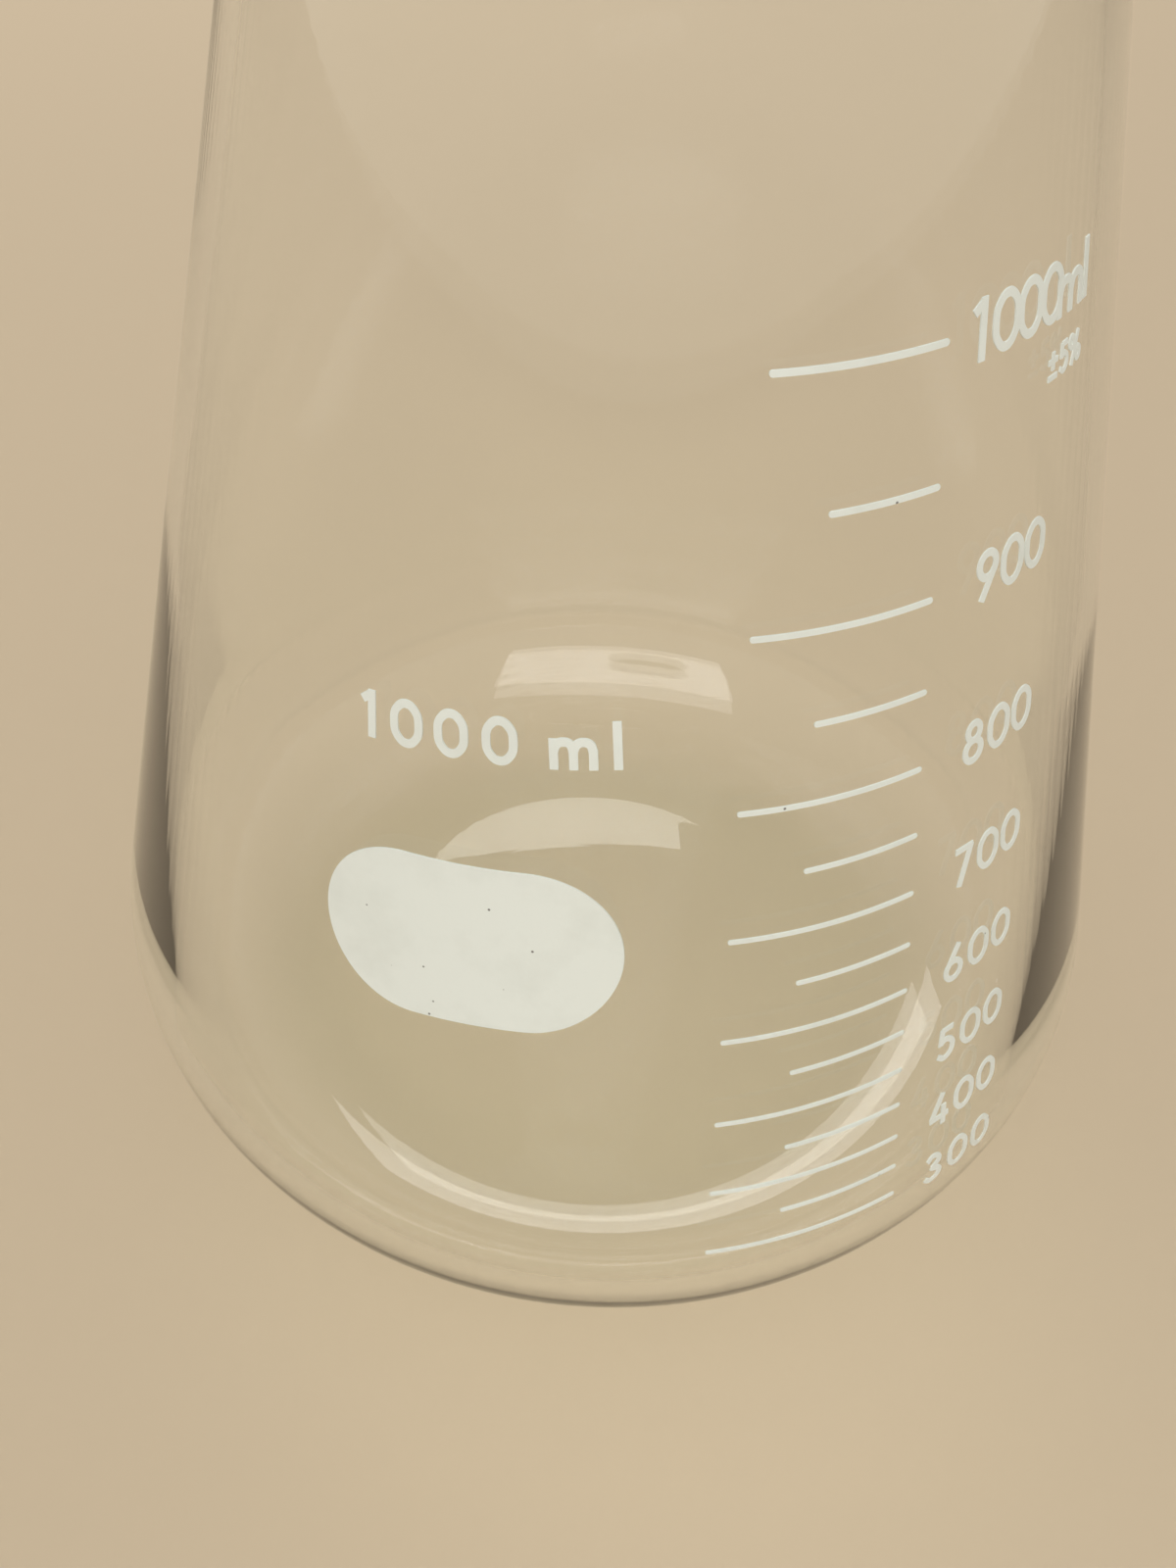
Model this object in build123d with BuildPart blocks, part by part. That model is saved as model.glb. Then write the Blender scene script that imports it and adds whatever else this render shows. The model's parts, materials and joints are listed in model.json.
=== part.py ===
from build123d import *

import os
from math import asin, atan2, cos, hypot, radians, sin, tan

# Erlenmeyer flask of 1000 ml in thick glass, in millimetres. It stands on its foot ring on the XY
# plane with its axis on Z. Azimuths are in degrees from the front, -Y, and grow towards +X.

# Outside of the glass
body_diameter = 129.2  # across the widest part, just above the foot
flask_height = 224.0
neck_length = 35.7  # from the top down to where the cone would meet the neck
heel_radius = 27.6  # large round between the foot and the wall
neck_diameter = 45.0
shoulder_radius = 35.0  # hollow round between the cone and the neck
punt_depth = 1.6  # the underside is hollow, so that the flask stands on a ring
foot_ring_width = 3.0
punt_edge_radius = 50.0  # long round, so that the underside shows no edge

# Thickness of the glass, which thins fast above the heel and slowly from there up
base_thickness = 4.4  # where the floor would meet the wall
floor_rise = 1.2  # the floor inside is a low dome
heel_wall = 3.6  # where the cone leaves the heel
body_wall = 2.0  # at the level where the fast thinning ends
body_wall_level = 87.0
shoulder_wall = 2.0  # where the cone meets the neck
neck_wall = 3.5
inner_heel_radius = 22.0
thinning_radius = 500.0  # long round of the inside where the fast thinning ends

# Beaded lip, a full round from the bore to its outer edge
lip_overhang = 2.8  # how far it stands out from the neck
lip_root_radius = 1.6

# Graduation lines, printed in enamel at the level that each volume fills the flask to
enamel_thickness = 0.1
line_width = 0.5
scale_right = 34.2  # azimuth of the lines' common right end
long_line_span = 20.8  # degrees of azimuth
short_line_span = 13.3
first_volume = 300.0  # millilitres
last_volume = 1000.0
volume_step = 50.0
long_line_step = 100.0
level_tolerance = 0.01

# Spot to write on, an enamel field with round ends, sized as seen square on
spot_azimuth = -12.8
spot_level = 73.0  # of its centre
spot_length = 29.4
spot_width = 18.0
spot_tilt = 5.3  # degrees that its long side climbs towards the right

# Outer wall, worked out from the sizes above
foot_radius = body_diameter / 2 - heel_radius
punt_radius = foot_radius - foot_ring_width
neck_radius = neck_diameter / 2
cone_top = flask_height - neck_length
cone_run = (foot_radius - neck_radius, cone_top - heel_radius)  # neck to the heel's centre
lean = atan2(*cone_run) + asin(heel_radius / hypot(*cone_run))  # of the wall, from upright
cone_bottom = heel_radius * (1 + sin(lean))
foot_corner = foot_radius + heel_radius * tan(lean) + heel_radius / cos(lean)
cone_straight_top = cone_top - shoulder_radius * tan(lean / 2)
lip_radius = (neck_wall + lip_overhang) / 2
lip_level = flask_height - lip_radius


def wall_radius(level, depth=0.0):
    """Radius of the cone at a level, at a depth under its outer face."""
    return foot_corner - level * tan(lean) - depth / cos(lean)


# Inner wall, as the points where its straight runs would meet
bore_radius = neck_radius - neck_wall
heel_inside = (wall_radius(cone_bottom, heel_wall), cone_bottom)
body_inside = (wall_radius(body_wall_level, body_wall), body_wall_level)
shoulder_inside = (wall_radius(cone_top, shoulder_wall), cone_top)


def run_on(first, second, radius=None, level=None):
    """The point with a given radius or level on the line through two points."""
    rise = (second[1] - first[1]) / (second[0] - first[0])
    if level is None:
        return (radius, first[1] + (radius - first[0]) * rise)
    return (first[0] + (level - first[1]) / rise, level)


floor_corner = run_on(heel_inside, body_inside, level=base_thickness)
neck_corner = run_on(body_inside, shoulder_inside, radius=bore_radius)
floor_middle = (0, base_thickness + floor_rise)


def inside_lines():
    """Lines of the inside, from the middle of the floor up to the lip."""
    TangentArc(floor_middle, floor_corner, tangent=(1, 0))
    Polyline(floor_corner, body_inside, neck_corner, (bore_radius, lip_level))


def corner(sketch, point):
    """The sketch's corner at a point of the section."""
    return sketch.vertices().sort_by_distance(point)[0]


def round_inside(sketch):
    """Fillets of the inside, at the heel, where the wall stops thinning, and under the neck."""
    fillet(corner(sketch, floor_corner), inner_heel_radius)
    fillet(corner(sketch, body_inside), thinning_radius)
    fillet(corner(sketch, neck_corner), shoulder_radius + neck_wall)


# The glass, one blown piece
with BuildPart() as flask:
    with BuildSketch(Plane.XZ) as section:
        with BuildLine():
            inside_lines()
            Polyline(
                (bore_radius, lip_level),
                (neck_radius, lip_level),
                (neck_radius, cone_top),
                (foot_corner, 0),
                (punt_radius, 0),
            )
            TangentArc((0, punt_depth), (punt_radius, 0), tangent=(1, 0))
            Line((0, punt_depth), floor_middle)
        make_face()
        round_inside(section)
        fillet(corner(section, (foot_corner, 0)), heel_radius)
        fillet(corner(section, (punt_radius, 0)), punt_edge_radius)
        fillet(corner(section, (neck_radius, cone_top)), shoulder_radius)
        with Locations((bore_radius + lip_radius, lip_level)):
            Circle(lip_radius)
        fillet(corner(section, (neck_radius, lip_level - lip_radius)), lip_root_radius)
    revolve(axis=Axis.Z)
flask.part.label = "flask"

# What the flask holds when it is full
with BuildPart() as contents:
    with BuildSketch(Plane.XZ) as hollow:
        with BuildLine():
            inside_lines()
            Polyline((bore_radius, lip_level), (0, lip_level), floor_middle)
        make_face()
        round_inside(hollow)
    revolve(axis=Axis.Z)


def fill_level(millilitres):
    """Level that a volume fills the flask to, found by halving."""
    low, high = base_thickness, lip_level
    while high - low > level_tolerance:
        level = (low + high) / 2
        surface = Plane.XY.offset(level)
        filled = split(contents.part, bisect_by=surface, keep=Keep.BOTTOM, mode=Mode.PRIVATE)
        if filled.volume < millilitres * 1000:
            low = level
        else:
            high = level
    return level


def facing(azimuth, level):
    """Upright plane through the axis, square to the line of sight from an azimuth."""
    turn = radians(azimuth)
    return Plane((0, 0, level), x_dir=(cos(turn), sin(turn), 0), z_dir=(sin(turn), -cos(turn), 0))


# Film of enamel all over the wall, which the print is cut from: a body that stands proud of the
# glass, less the body of the glass itself
with BuildPart() as film:
    for proud, mode in ((enamel_thickness, Mode.ADD), (0, Mode.SUBTRACT)):
        foot_edge = (wall_radius(-proud, -proud), -proud)
        with BuildSketch(Plane.XZ) as outline:
            with BuildLine():
                Polyline(
                    (0, -proud),
                    foot_edge,
                    (wall_radius(cone_top, -proud), cone_top),
                    (0, cone_top),
                    close=True,
                )
            make_face()
            fillet(corner(outline, foot_edge), heel_radius + proud)
        revolve(axis=Axis.Z, mode=mode)

# Graduation lines, as far up as the cone is straight
line_count = round((last_volume - first_volume) / volume_step) + 1
with BuildPart() as graduation_lines:
    for index in range(line_count):
        volume = first_volume + index * volume_step
        level = fill_level(volume)
        if level + line_width > cone_straight_top:
            break
        span = short_line_span if volume % long_line_step else long_line_span
        with BuildSketch(facing(scale_right - span / 2, level)):
            SlotOverall(2 * wall_radius(level) * sin(radians(span / 2)), line_width)
        extrude(amount=body_diameter / 2)
    add(film.part, mode=Mode.INTERSECT)
graduation_lines.part.label = "graduation_lines"

# Spot to write on
with BuildPart() as marking_spot:
    with BuildSketch(facing(spot_azimuth, spot_level)):
        SlotOverall(spot_length, spot_width, rotation=spot_tilt)
    extrude(amount=body_diameter / 2)
    add(film.part, mode=Mode.INTERSECT)
marking_spot.part.label = "marking_spot"

os.makedirs("parts", exist_ok=True)
export_step(flask.part, "parts/flask.step")
export_step(graduation_lines.part, "parts/graduation_lines.step")
export_step(marking_spot.part, "parts/marking_spot.step")
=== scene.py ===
import json
from math import asin, atan2, ceil, cos, hypot, pi, radians, sin, sqrt, tan

import bmesh
import bpy
from mathutils import Matrix, Vector, noise


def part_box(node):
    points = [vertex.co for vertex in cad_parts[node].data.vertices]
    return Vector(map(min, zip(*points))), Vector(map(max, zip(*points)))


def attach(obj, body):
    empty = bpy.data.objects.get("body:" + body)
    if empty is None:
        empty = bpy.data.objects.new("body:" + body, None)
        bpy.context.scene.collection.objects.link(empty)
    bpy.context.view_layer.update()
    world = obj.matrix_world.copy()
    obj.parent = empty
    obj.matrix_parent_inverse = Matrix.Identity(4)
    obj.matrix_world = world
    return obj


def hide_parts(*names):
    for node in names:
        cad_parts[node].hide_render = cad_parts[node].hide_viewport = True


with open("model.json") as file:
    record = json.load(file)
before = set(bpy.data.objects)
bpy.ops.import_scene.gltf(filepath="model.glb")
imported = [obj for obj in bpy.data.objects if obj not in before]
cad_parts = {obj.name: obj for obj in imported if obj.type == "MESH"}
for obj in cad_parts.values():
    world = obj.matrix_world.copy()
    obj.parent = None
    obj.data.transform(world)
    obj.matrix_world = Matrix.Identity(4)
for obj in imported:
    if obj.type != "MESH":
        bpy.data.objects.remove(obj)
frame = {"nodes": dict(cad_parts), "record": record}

# An erlenmeyer flask of 1000 ml in clear glass, with its enamel print. Metres, with the axis on Z
# and the front at -Y. Azimuths are in degrees from the front and grow towards +X.
print("stage: frame")
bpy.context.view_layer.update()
mounts = {mount["name"]: mount for mount in frame["record"]["mounts"]}
collection = bpy.context.scene.collection
bpy.context.scene.view_settings.view_transform = "Standard"

glassSizes = {
    "bodyRadius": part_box("flask")[1].x,
    "height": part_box("flask")[1].z,
    "boreRadius": mounts["mouth"]["dims"]["r_mm"] / 1000,
    "neckRadius": mounts["neck"]["dims"]["r_mm"] / 1000,
    "neckLength": 0.0357,
    "heelRadius": 0.0276,
    "shoulderRadius": 0.035,
    "lipOverhang": 0.0028,
    "lipRootRadius": 0.0016,
    "puntDepth": 0.0016,
    "puntEdgeRadius": 0.05,
    "footRingWidth": 0.003,
    "floorMiddle": 0.0056,
    "domeRadius": 1.8768,
    "domeEnd": 0.03866,
    "heelWall": 0.0036,
    "bodyWall": 0.0020,
    "bodyWallLevel": 0.087,
    "shoulderWall": 0.0020,
    "innerHeelRadius": 0.022,
    "thinningRadius": 0.5,
    "arcStep": 4.5,
    "leastArcSteps": 6,
    "spinSteps": 200,
    "wavesPerMetre": 38.0,
    "waveDepth": 0.00013,
    "wavesFrom": 0.010,
    "wavesTo": 0.180,
}

# Outer wall, as the CAD has it
g = glassSizes
footRadius = g["bodyRadius"] - g["heelRadius"]
coneTop = g["height"] - g["neckLength"]
coneRun = (footRadius - g["neckRadius"], coneTop - g["heelRadius"])
lean = atan2(*coneRun) + asin(g["heelRadius"] / hypot(*coneRun))
coneBottom = g["heelRadius"] * (1 + sin(lean))
footCorner = footRadius + g["heelRadius"] * (tan(lean) + 1 / cos(lean))


def wallRadius(level, depth=0.0):
    if level < coneBottom:
        heel = g["heelRadius"] - depth
        return footRadius + sqrt(max(heel ** 2 - (g["heelRadius"] - level) ** 2, 0))
    return footCorner - level * tan(lean) - depth / cos(lean)


def pointAtRadius(first, second, radius):
    share = (radius - first[0]) / (second[0] - first[0])
    return radius, first[1] + share * (second[1] - first[1])


def crossing(first, firstAlong, second, secondAlong):
    a, b = firstAlong
    c, d = secondAlong
    x, z = second[0] - first[0], second[1] - first[1]
    share = (x * d - z * c) / (a * d - b * c)
    return first[0] + share * a, first[1] + share * b


def newObject(name, mesh, material):
    piece = bpy.data.objects.new(name, mesh)
    collection.objects.link(piece)
    mesh.materials.append(material)
    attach(piece, "root")
    return piece


# Corners of the section with their rounds, from the middle of the underside up the outside, over
# the lip and down the inside to the middle of the floor
def glassCorners():
    puntRadius = footRadius - g["footRingWidth"]
    puntCorner = (puntRadius ** 2 + g["puntDepth"] ** 2) / (2 * puntRadius)
    puntTurn = atan2(g["puntDepth"], puntRadius - puntCorner)
    puntEdgeReach = g["puntEdgeRadius"] * tan(puntTurn / 2)
    lipRadius = (g["neckRadius"] - g["boreRadius"] + g["lipOverhang"]) / 2
    lipLevel = g["height"] - lipRadius
    lipOuter = g["boreRadius"] + 2 * lipRadius
    rootReach = lipRadius + g["lipRootRadius"]
    rootAcross = g["neckRadius"] + g["lipRootRadius"] - g["boreRadius"] - lipRadius
    rootTurn = pi / 2 - asin(rootAcross / rootReach)
    lipUnder = lipLevel - lipRadius * tan(rootTurn / 2)
    rootLevel = lipUnder - (lipOuter - g["neckRadius"]) / tan(rootTurn)
    heelInside = (wallRadius(coneBottom, g["heelWall"]), coneBottom)
    bodyInside = (wallRadius(g["bodyWallLevel"], g["bodyWall"]), g["bodyWallLevel"])
    shoulderInside = (wallRadius(coneTop, g["shoulderWall"]), coneTop)
    neckInside = pointAtRadius(bodyInside, shoulderInside, g["boreRadius"])
    tilt = asin(g["domeEnd"] / g["domeRadius"])
    dome = (g["domeRadius"] * tan(tilt / 2), g["floorMiddle"])
    up = (bodyInside[0] - heelInside[0], bodyInside[1] - heelInside[1])
    floorCorner = crossing(dome, (cos(tilt), -sin(tilt)), heelInside, up)
    return [
        (0, g["puntDepth"], 0),
        (puntCorner, g["puntDepth"], (puntCorner - puntEdgeReach) / tan(puntTurn / 2)),
        (puntRadius, 0, g["puntEdgeRadius"]),
        (footCorner, 0, g["heelRadius"]),
        (g["neckRadius"], coneTop, g["shoulderRadius"]),
        (g["neckRadius"], rootLevel, g["lipRootRadius"]),
        (lipOuter, lipUnder, lipRadius),
        (lipOuter, g["height"], lipRadius),
        (g["boreRadius"], g["height"], lipRadius),
        (*neckInside, g["shoulderRadius"] + g["neckRadius"] - g["boreRadius"]),
        (*bodyInside, g["thinningRadius"]),
        (*floorCorner, g["innerHeelRadius"]),
        (*dome, 0.98 * g["domeRadius"]),
        (0, g["floorMiddle"], 0),
    ]


def addSection(mesh, corners):
    points = [Vector((radius, 0, level)) for radius, level, _ in corners]
    last = mesh.verts.new(points[0])
    for before, here, after, corner in zip(points, points[1:], points[2:], corners[1:]):
        coming = (here - before).normalized()
        going = (after - here).normalized()
        turn = coming.angle(going)
        start = mesh.verts.new(here - coming * corner[2] * tan(turn / 2))
        mesh.edges.new((last, start))
        middle = here + (going - coming).normalized() * corner[2] / cos(turn / 2)
        steps = max(g["leastArcSteps"], ceil(turn / radians(g["arcStep"])))
        arc = bmesh.ops.spin(
            mesh, geom=[start], cent=middle, axis=coming.cross(going), angle=turn, steps=steps,
        )
        last = next(v for v in arc["geom_last"] if isinstance(v, bmesh.types.BMVert))
    mesh.edges.new((last, mesh.verts.new(points[-1])))


# The slow waves of blown glass, on the inside of the wall, where they fade out at both ends
def addWaves(mesh):
    middle = (g["wavesFrom"] + g["wavesTo"]) / 2
    reach = (g["wavesTo"] - g["wavesFrom"]) / 2
    mesh.normal_update()
    for vert in mesh.verts:
        level = vert.co.z
        fade = max(0, 1 - ((level - middle) / reach) ** 2)
        if hypot(vert.co.x, vert.co.y) < wallRadius(level, g["bodyWall"] / 2):
            depth = fade * g["waveDepth"] * noise.noise(vert.co * g["wavesPerMetre"])
            vert.co += depth * vert.normal


def glassMesh():
    mesh = bmesh.new()
    addSection(mesh, glassCorners())
    bmesh.ops.spin(
        mesh, geom=mesh.verts[:] + mesh.edges[:], cent=(0, 0, 0), axis=(0, 0, 1),
        angle=2 * pi, steps=g["spinSteps"], use_merge=True,
    )
    bmesh.ops.remove_doubles(mesh, verts=mesh.verts[:], dist=1e-6)
    bmesh.ops.recalc_face_normals(mesh, faces=mesh.faces[:])
    addWaves(mesh)
    for face in mesh.faces:
        face.smooth = True
    data = bpy.data.meshes.new("glass")
    mesh.to_mesh(data)
    mesh.free()
    return data


# Materials
def newMaterial(name):
    material = bpy.data.materials.new(name)
    material.use_nodes = True
    nodes = material.node_tree.nodes
    return material, nodes, material.node_tree.links, nodes["Principled BSDF"]


def addNode(nodes, kind, **inputs):
    node = nodes.new(kind)
    for name, value in inputs.items():
        node.inputs[name].default_value = value
    return node


def addRange(nodes, start, end):
    node = nodes.new("ShaderNodeMapRange")
    node.inputs["From Min"].default_value, node.inputs["From Max"].default_value = start
    node.inputs["To Min"].default_value, node.inputs["To Max"].default_value = end
    return node


glassLook = {
    "indexOfRefraction": 1.473,
    "absorbedColour": (0.62, 0.80, 0.50, 1),
    "absorptionDensity": 9.0,
    "shadowTint": (0.965, 0.970, 0.960, 1),
    "roughness": 0.0,
}


def glassMaterial():
    look = glassLook
    material, nodes, links, shader = newMaterial("clearGlass")
    shader.inputs["Base Color"].default_value = (1, 1, 1, 1)
    shader.inputs["Transmission Weight"].default_value = 1
    shader.inputs["IOR"].default_value = look["indexOfRefraction"]
    shader.inputs["Roughness"].default_value = look["roughness"]

    # Lamps shine through, and the glass is faintly green where it is thick
    output = nodes["Material Output"]
    through = addNode(nodes, "ShaderNodeBsdfTransparent", Color=look["shadowTint"])
    path = nodes.new("ShaderNodeLightPath")
    mix = nodes.new("ShaderNodeMixShader")
    links.new(path.outputs["Is Shadow Ray"], mix.inputs["Fac"])
    links.new(shader.outputs["BSDF"], mix.inputs[1])
    links.new(through.outputs["BSDF"], mix.inputs[2])
    links.new(mix.outputs["Shader"], output.inputs["Surface"])
    volume = addNode(
        nodes, "ShaderNodeVolumeAbsorption",
        Color=look["absorbedColour"], Density=look["absorptionDensity"],
    )
    links.new(volume.outputs["Volume"], output.inputs["Volume"])
    return material


enamelLook = {
    "colour": (0.745, 0.770, 0.700, 1),
    "wornColour": (0.690, 0.712, 0.642, 1),
    "roughness": (0.38, 0.55),
    "speckColour": (0.16, 0.15, 0.13, 1),
    "specksPerMetre": 320.0,
    "speckEdge": (0.030, 0.050),
    "cloudsPerMetre": 160.0,
    "cloudDetail": 6.0,
    "cloudRoughness": 0.6,
    "cloudEdge": (0.25, 0.55),
    "grainsPerMetre": 2600.0,
    "grainDetail": 2.0,
    "grainStrength": 0.5,
    "grainDepth": 0.00002,
}


def enamelMaterial():
    look = enamelLook
    material, nodes, links, shader = newMaterial("offWhiteEnamel")
    place = nodes.new("ShaderNodeTexCoord")
    cloud = addNode(
        nodes, "ShaderNodeTexNoise",
        Scale=look["cloudsPerMetre"], Detail=look["cloudDetail"], Roughness=look["cloudRoughness"],
    )
    links.new(place.outputs["Object"], cloud.inputs["Vector"])
    ramp = nodes.new("ShaderNodeValToRGB")
    colours = (look["wornColour"], look["colour"])
    for element, edge, paint in zip(ramp.color_ramp.elements, look["cloudEdge"], colours):
        element.position = edge
        element.color = paint
    links.new(cloud.outputs["Fac"], ramp.inputs["Fac"])
    specks = addNode(nodes, "ShaderNodeTexVoronoi", Scale=look["specksPerMetre"])
    links.new(place.outputs["Object"], specks.inputs["Vector"])
    clean = addRange(nodes, look["speckEdge"], (0, 1))
    links.new(specks.outputs["Distance"], clean.inputs["Value"])
    colour = addNode(nodes, "ShaderNodeMixRGB", Color1=look["speckColour"])
    links.new(clean.outputs["Result"], colour.inputs["Fac"])
    links.new(ramp.outputs["Color"], colour.inputs["Color2"])
    links.new(colour.outputs["Color"], shader.inputs["Base Color"])
    gloss = addRange(nodes, (0, 1), look["roughness"])
    links.new(cloud.outputs["Fac"], gloss.inputs["Value"])
    links.new(gloss.outputs["Result"], shader.inputs["Roughness"])
    grain = addNode(
        nodes, "ShaderNodeTexNoise", Scale=look["grainsPerMetre"], Detail=look["grainDetail"],
    )
    links.new(place.outputs["Object"], grain.inputs["Vector"])
    bump = addNode(
        nodes, "ShaderNodeBump", Strength=look["grainStrength"], Distance=look["grainDepth"],
    )
    links.new(grain.outputs["Fac"], bump.inputs["Height"])
    links.new(bump.outputs["Normal"], shader.inputs["Normal"])
    return material


print("stage: glass")
glass = newObject("clearFlask", glassMesh(), glassMaterial())
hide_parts("flask")

# The print: flat shapes in a plane that faces out, thickened and bent onto the wall. Their outer
# face stands proud of the glass and their inner one is just under it.
filmSizes = {
    "proud": 0.0001,
    "sunk": 0.00002,
    "strokeLift": 0.000004,
}


def bendOntoWall(mesh, azimuth, level):
    turn = radians(azimuth)
    for vert in mesh.verts:
        across, up, proud = vert.co
        radius = wallRadius(level + up, -proud)
        out = sqrt(radius ** 2 - across ** 2)
        vert.co = Vector((
            cos(turn) * across + sin(turn) * out,
            sin(turn) * across - cos(turn) * out,
            level + up,
        ))


def thicken(mesh, lift=0.0):
    for vert in mesh.verts:
        vert.co.z = -filmSizes["sunk"]
    outer = bmesh.ops.extrude_face_region(mesh, geom=mesh.faces[:])
    for item in outer["geom"]:
        if isinstance(item, bmesh.types.BMVert):
            item.co.z = filmSizes["proud"] + lift
    bmesh.ops.recalc_face_normals(mesh, faces=mesh.faces[:])
    for face in mesh.faces:
        face.smooth = False


def addRow(mesh, start, end, rows):
    verts = [mesh.verts.new(start.lerp(end, row / rows)) for row in range(rows + 1)]
    edges = [mesh.edges.new(pair) for pair in zip(verts, verts[1:])]
    return verts + edges


def flatSlot(length, width, rows, columns, capSteps):
    mesh = bmesh.new()
    reach = (length - width) / 2
    low, high = Vector((0, -width / 2, 0)), Vector((0, width / 2, 0))
    for side, turn in ((reach, -pi), (-reach, pi)):
        middle = Vector((side, 0, 0))
        cap = addRow(mesh, middle, middle + high, rows)
        bmesh.ops.spin(mesh, geom=cap, cent=middle, axis=(0, 0, 1), angle=turn, steps=capSteps)
    start = Vector((-reach, 0, 0))
    across = addRow(mesh, start + low, start + high, 2 * rows)
    step = Vector((2 * reach / columns, 0, 0))
    bmesh.ops.spin(mesh, geom=across, cent=(0, 0, 0), dvec=step, axis=(0, 0, 1), angle=0, steps=columns)
    bmesh.ops.remove_doubles(mesh, verts=mesh.verts[:], dist=1e-6)
    return mesh


def joined(name, parts):
    whole = bmesh.new()
    for part in parts:
        data = bpy.data.meshes.new("part")
        part.to_mesh(data)
        part.free()
        whole.from_mesh(data)
        bpy.data.meshes.remove(data)
    data = bpy.data.meshes.new(name)
    whole.to_mesh(data)
    whole.free()
    return data


enamel = enamelMaterial()

print("stage: volume lines")
lineSizes = {
    "width": 0.0005,
    "rightEnd": 34.2,
    "longSpan": 20.8,
    "shortSpan": 13.3,
    "firstVolume": 300,
    "volumeStep": 50,
    "rows": 1,
    "columns": 24,
    "capSteps": 8,
}


# The lines' levels are read off the CAD node, whose loose parts are the lines
def lineLevels():
    mesh = bmesh.new()
    mesh.from_mesh(frame["nodes"]["graduation_lines"].data)
    bmesh.ops.remove_doubles(mesh, verts=mesh.verts[:], dist=1e-6)
    heights = sorted(vert.co.z for vert in mesh.verts)
    mesh.free()
    groups = [[heights[0]]]
    for height in heights[1:]:
        if height - groups[-1][-1] > lineSizes["width"]:
            groups.append([])
        groups[-1].append(height)
    return [(group[0] + group[-1]) / 2 for group in groups]


levels = lineLevels()
volumes = [lineSizes["firstVolume"] + lineSizes["volumeStep"] * i for i in range(len(levels))]
levelOf = dict(zip(volumes, levels))
print("lines", {volume: round(level * 1000, 2) for volume, level in levelOf.items()})


def volumeLines():
    parts = []
    for volume, level in levelOf.items():
        span = lineSizes["shortSpan"] if volume % 100 else lineSizes["longSpan"]
        length = 2 * wallRadius(level) * sin(radians(span / 2))
        line = flatSlot(
            length, lineSizes["width"], lineSizes["rows"], lineSizes["columns"], lineSizes["capSteps"],
        )
        thicken(line)
        bendOntoWall(line, lineSizes["rightEnd"] - span / 2, level)
        parts.append(line)
    return joined("volumeLines", parts)


lines = newObject("volumeLines", volumeLines(), enamel)
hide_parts("graduation_lines")

print("stage: spot")
spotSizes = {
    "azimuth": -12.8,
    "level": 0.0730,
    "length": 0.0294,
    "width": 0.0180,
    "tilt": 5.3,
    "rows": 8,
    "columns": 14,
    "capSteps": 40,
}


def spotMesh():
    s = spotSizes
    spot = flatSlot(s["length"], s["width"], s["rows"], s["columns"], s["capSteps"])
    turn = Matrix.Rotation(radians(s["tilt"]), 3, "Z")
    bmesh.ops.rotate(spot, verts=spot.verts[:], cent=(0, 0, 0), matrix=turn)
    thicken(spot)
    bendOntoWall(spot, s["azimuth"], s["level"])
    return joined("writingSpot", [spot])


spot = newObject("writingSpot", spotMesh(), enamel)
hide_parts("marking_spot")

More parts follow.
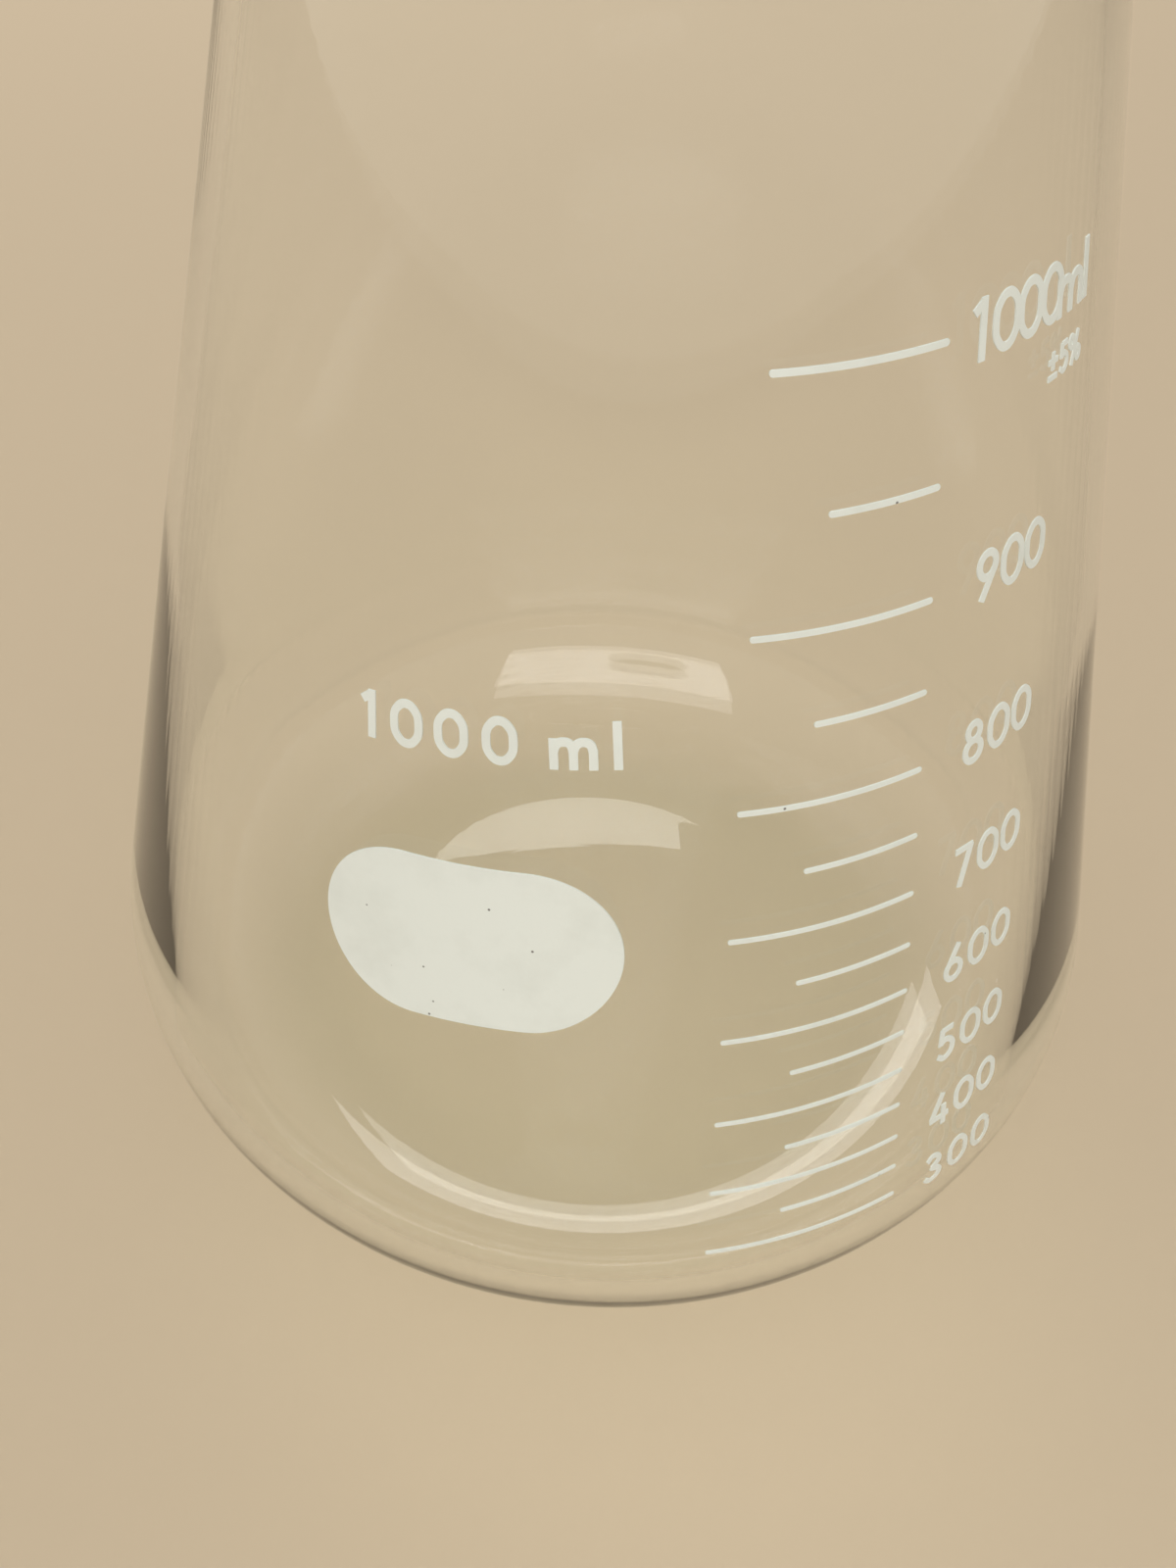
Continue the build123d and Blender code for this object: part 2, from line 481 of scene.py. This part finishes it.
# Plain figures, as strokes in a box one unit high: a loop or curve is smooth, a line is straight
strokes = {
    "0": (0.70, [("loop", [(0.35, 0.08), (0.56, 0.22), (0.62, 0.5), (0.56, 0.78), (0.35, 0.92),
                           (0.14, 0.78), (0.08, 0.5), (0.14, 0.22)])]),
    "1": (0.40, [("line", [(0.26, 0), (0.26, 1)]), ("line", [(0.25, 0.93), (0.05, 0.78)])]),
    "3": (0.56, [("curve", [(0.08, 0.80), (0.26, 0.92), (0.45, 0.74), (0.24, 0.54)]),
                 ("curve", [(0.22, 0.54), (0.49, 0.30), (0.26, 0.08), (0.05, 0.21)])]),
    "4": (0.60, [("line", [(0.38, 1), (0.05, 0.30)]), ("line", [(0.0, 0.27), (0.58, 0.27)]),
                 ("line", [(0.42, 0), (0.42, 0.62)])]),
    "5": (0.56, [("line", [(0.14, 0.92), (0.48, 0.92)]), ("line", [(0.16, 0.95), (0.12, 0.50)]),
                 ("curve", [(0.12, 0.56), (0.30, 0.62), (0.49, 0.36), (0.28, 0.08), (0.05, 0.20)])]),
    "6": (0.58, [("loop", [(0.29, 0.08), (0.51, 0.32), (0.29, 0.56), (0.07, 0.32)]),
                 ("line", [(0.11, 0.44), (0.42, 1)])]),
    "7": (0.54, [("line", [(0.03, 0.92), (0.52, 0.92)]), ("line", [(0.48, 0.95), (0.18, 0)])]),
    "8": (0.56, [("loop", [(0.28, 0.54), (0.45, 0.73), (0.28, 0.92), (0.11, 0.73)]),
                 ("loop", [(0.28, 0.08), (0.50, 0.31), (0.28, 0.54), (0.06, 0.31)])]),
    "9": (0.58, [("loop", [(0.29, 0.44), (0.51, 0.68), (0.29, 0.92), (0.07, 0.68)]),
                 ("line", [(0.47, 0.56), (0.16, 0)])]),
    "m": (1.04, [("line", [(0.10, 0), (0.10, 0.64)]), ("line", [(0.48, 0), (0.48, 0.42)]),
                 ("line", [(0.86, 0), (0.86, 0.42)]),
                 ("curve", [(0.10, 0.38), (0.18, 0.54), (0.30, 0.58), (0.42, 0.54), (0.48, 0.38)]),
                 ("curve", [(0.48, 0.38), (0.56, 0.54), (0.68, 0.58), (0.80, 0.54), (0.86, 0.38)])]),
    "l": (0.30, [("line", [(0.12, 0), (0.12, 1)])]),
    "+-": (0.70, [("line", [(0.06, 0.62), (0.60, 0.62)]), ("line", [(0.33, 0.34), (0.33, 0.90)]),
                  ("line", [(0.06, 0.12), (0.60, 0.12)])]),
    "%": (0.90, [("loop", [(0.20, 0.56), (0.34, 0.74), (0.20, 0.92), (0.06, 0.74)]),
                 ("loop", [(0.66, 0.08), (0.80, 0.26), (0.66, 0.44), (0.52, 0.26)]),
                 ("line", [(0.64, 1), (0.22, 0)])]),
}
strokeSizes = {
    "smoothSteps": 8,
    "straightSteps": 5,
}


def strokeMesh(kind, points, height, weight):
    curve = bpy.data.curves.new("stroke", "CURVE")
    curve.dimensions = "3D"
    curve.twist_mode = "Z_UP"
    curve.extrude = weight / 2
    spline = curve.splines.new("BEZIER")
    spline.bezier_points.add(len(points) - 1)
    for knot, (x, y) in zip(spline.bezier_points, points):
        knot.co = (x * height, y * height, 0)
        knot.tilt = pi / 2
        handle = "VECTOR" if kind == "line" else "AUTO"
        knot.handle_left_type = handle
        knot.handle_right_type = handle
    spline.use_cyclic_u = kind == "loop"
    spline.resolution_u = strokeSizes["straightSteps" if kind == "line" else "smoothSteps"]
    holder = bpy.data.objects.new("stroke", curve)
    collection.objects.link(holder)
    bpy.context.view_layer.update()
    data = bpy.data.meshes.new_from_object(holder.evaluated_get(bpy.context.evaluated_depsgraph_get()))
    bpy.data.objects.remove(holder)
    mesh = bmesh.new()
    mesh.from_mesh(data)
    bpy.data.meshes.remove(data)
    bpy.data.curves.remove(curve)
    bmesh.ops.remove_doubles(mesh, verts=mesh.verts[:], dist=1e-7)
    return mesh


# One figure, with its middle in the middle of its plane
def figureParts(sign, height, weight, azimuth, level, tilt=0.0):
    width, shapes = strokes[sign]
    turn = Matrix.Rotation(radians(tilt), 3, "Z")
    parts = []
    for index, (kind, points) in enumerate(shapes):
        part = strokeMesh(kind, points, height, weight)
        bmesh.ops.translate(part, verts=part.verts[:], vec=(-width * height / 2, -height / 2, 0))
        bmesh.ops.rotate(part, verts=part.verts[:], cent=(0, 0, 0), matrix=turn)
        thicken(part, index * filmSizes["strokeLift"])
        bendOntoWall(part, azimuth, level)
        parts.append(part)
    return parts


print("stage: figures")
# Volume: azimuths of the first and the last figure, height and stroke
scaleFigures = {
    300: (39.5, 46.7, 0.0049, 0.00070),
    400: (39.9, 47.1, 0.0048, 0.00070),
    500: (40.2, 47.6, 0.0048, 0.00068),
    600: (40.6, 48.2, 0.0047, 0.00066),
    700: (41.1, 48.9, 0.0047, 0.00066),
    800: (41.5, 49.6, 0.0046, 0.00066),
    900: (42.0, 50.3, 0.0045, 0.00066),
    1000: (38.5, 50.8, 0.0045, 0.00066),
}
topRow = {
    "signs": {"m": 55.2, "l": 58.9},
    "lowRow": {"+-": 51.9, "5": 54.2, "%": 56.9},
    "lowRowLevel": 0.1193,
    "lowRowHeight": 0.0025,
    "lowRowStroke": 0.00042,
}


def scaleMesh():
    parts = []
    for volume, (first, last, height, weight) in scaleFigures.items():
        signs = str(volume)
        for index, sign in enumerate(signs):
            azimuth = first + (last - first) * index / (len(signs) - 1)
            parts += figureParts(sign, height, weight, azimuth, levelOf[volume])
    height, weight = scaleFigures[1000][2:]
    for sign, azimuth in topRow["signs"].items():
        parts += figureParts(sign, height, weight, azimuth, levelOf[1000])
    for sign, azimuth in topRow["lowRow"].items():
        parts += figureParts(
            sign, topRow["lowRowHeight"], topRow["lowRowStroke"], azimuth, topRow["lowRowLevel"],
        )
    return joined("scaleFigures", parts)


newObject("scaleFigures", scaleMesh(), enamel)

capacity = {
    "signs": [("1", -25.6), ("0", -21.2), ("0", -16.2), ("0", -11.0), ("m", -3.3), ("l", 1.1)],
    "level": 0.0949,
    "height": 0.0044,
    "stroke": 0.00076,
    "tilt": 5.9,
    "middle": -12.0,
}


def capacityMesh():
    c = capacity
    parts = []
    for sign, azimuth in c["signs"]:
        arc = radians(azimuth - c["middle"]) * wallRadius(c["level"])
        rise = arc * tan(radians(c["tilt"]))
        parts += figureParts(sign, c["height"], c["stroke"], azimuth, c["level"] + rise, c["tilt"])
    return joined("capacityFigures", parts)


newObject("capacityFigures", capacityMesh(), enamel)

print("stage: floor and light")
studio = {
    "floorColour": (0.600, 0.480, 0.330, 1),
    "floorReach": 4.0,
    "floorRoughness": 0.9,
    "floorShine": 0.1,
    "worldColour": (0.60, 0.60, 0.60, 1),
    "backdropColour": (0.70, 0.62, 0.50, 1),
    "ceilingColour": (0.22, 0.22, 0.23, 1),
    "sweepEdge": (0.15, 0.75),
    # name: place, aim, width, height, watts
    "lamps": {
        "backSoftbox": ((-0.25, 0.95, 0.55), (0, 0, 0.05), 0.9, 0.30, 3.2),
        "frontSoftbox": ((0, -1.45, 1.05), (0, 0, 0.08), 1.9, 1.05, 15.5),
    },
}


def addFloor():
    mesh = bmesh.new()
    bmesh.ops.create_grid(mesh, x_segments=1, y_segments=1, size=studio["floorReach"])
    data = bpy.data.meshes.new("floor")
    mesh.to_mesh(data)
    mesh.free()
    material, nodes, links, shader = newMaterial("paleFloor")
    shader.inputs["Base Color"].default_value = studio["floorColour"]
    shader.inputs["Roughness"].default_value = studio["floorRoughness"]
    shader.inputs["Specular IOR Level"].default_value = studio["floorShine"]
    data.materials.append(material)
    floor = bpy.data.objects.new("floor", data)
    collection.objects.link(floor)


def addLamp(name, place, aim, width, height, watts):
    light = bpy.data.lights.new(name, "AREA")
    light.shape = "RECTANGLE"
    light.size = width
    light.size_y = height
    light.energy = watts
    lamp = bpy.data.objects.new(name, light)
    collection.objects.link(lamp)
    lamp.location = place
    lamp.rotation_euler = (Vector(aim) - Vector(place)).to_track_quat("-Z", "Y").to_euler()


def addWorld():
    world = bpy.data.worlds.new("studio")
    bpy.context.scene.world = world
    world.use_nodes = True
    nodes, links = world.node_tree.nodes, world.node_tree.links
    light = nodes["Background"]
    light.inputs["Color"].default_value = studio["worldColour"]
    seen = nodes.new("ShaderNodeBackground")
    place = nodes.new("ShaderNodeTexCoord")
    apart = nodes.new("ShaderNodeSeparateXYZ")
    links.new(place.outputs["Generated"], apart.inputs["Vector"])
    sweep = nodes.new("ShaderNodeValToRGB")
    colours = (studio["backdropColour"], studio["ceilingColour"])
    for element, edge, paint in zip(sweep.color_ramp.elements, studio["sweepEdge"], colours):
        element.position = edge
        element.color = paint
    links.new(apart.outputs["Z"], sweep.inputs["Fac"])
    links.new(sweep.outputs["Color"], seen.inputs["Color"])
    path = nodes.new("ShaderNodeLightPath")
    glossy = nodes.new("ShaderNodeMath")
    glossy.operation = "MAXIMUM"
    links.new(path.outputs["Is Camera Ray"], glossy.inputs[0])
    links.new(path.outputs["Is Glossy Ray"], glossy.inputs[1])
    through = nodes.new("ShaderNodeMath")
    through.operation = "MAXIMUM"
    links.new(glossy.outputs["Value"], through.inputs[0])
    links.new(path.outputs["Is Transmission Ray"], through.inputs[1])
    mix = nodes.new("ShaderNodeMixShader")
    links.new(through.outputs["Value"], mix.inputs["Fac"])
    links.new(light.outputs["Background"], mix.inputs[1])
    links.new(seen.outputs["Background"], mix.inputs[2])
    links.new(mix.outputs["Shader"], nodes["World Output"].inputs["Surface"])


addFloor()
for name, lamp in studio["lamps"].items():
    addLamp(name, *lamp)
addWorld()

print("stage: camera")
# The photograph's view, found from the outline and the volume lines
view = {
    "away": 0.12929,
    "height": 0.17825,
    "pitch": 0.8873,
    "yaw": -0.0779,
    "roll": -0.0171,
    "focalPixels": 1432.07,
    "middlePixels": (539.3, 901.34),
    "imagePixels": (1200, 1600),
}


def addCamera():
    v = view
    ahead = Vector((sin(v["yaw"]) * cos(v["pitch"]), cos(v["yaw"]) * cos(v["pitch"]), -sin(v["pitch"])))
    level = Vector((cos(v["yaw"]), -sin(v["yaw"]), 0))
    lower = ahead.cross(level)
    right = cos(v["roll"]) * level + sin(v["roll"]) * lower
    down = cos(v["roll"]) * lower - sin(v["roll"]) * level
    wide, tall = v["imagePixels"]
    data = bpy.data.cameras.new("camera")
    data.sensor_width = 36
    data.lens = v["focalPixels"] / tall * data.sensor_width
    data.shift_x = (wide / 2 - v["middlePixels"][0]) / tall
    data.shift_y = (v["middlePixels"][1] - tall / 2) / tall
    data.clip_start = 0.01
    camera = bpy.data.objects.new("camera", data)
    collection.objects.link(camera)
    place = Matrix((right, -down, -ahead)).transposed().to_4x4()
    place.translation = (0, -v["away"], v["height"])
    camera.matrix_world = place
    bpy.context.scene.camera = camera


addCamera()
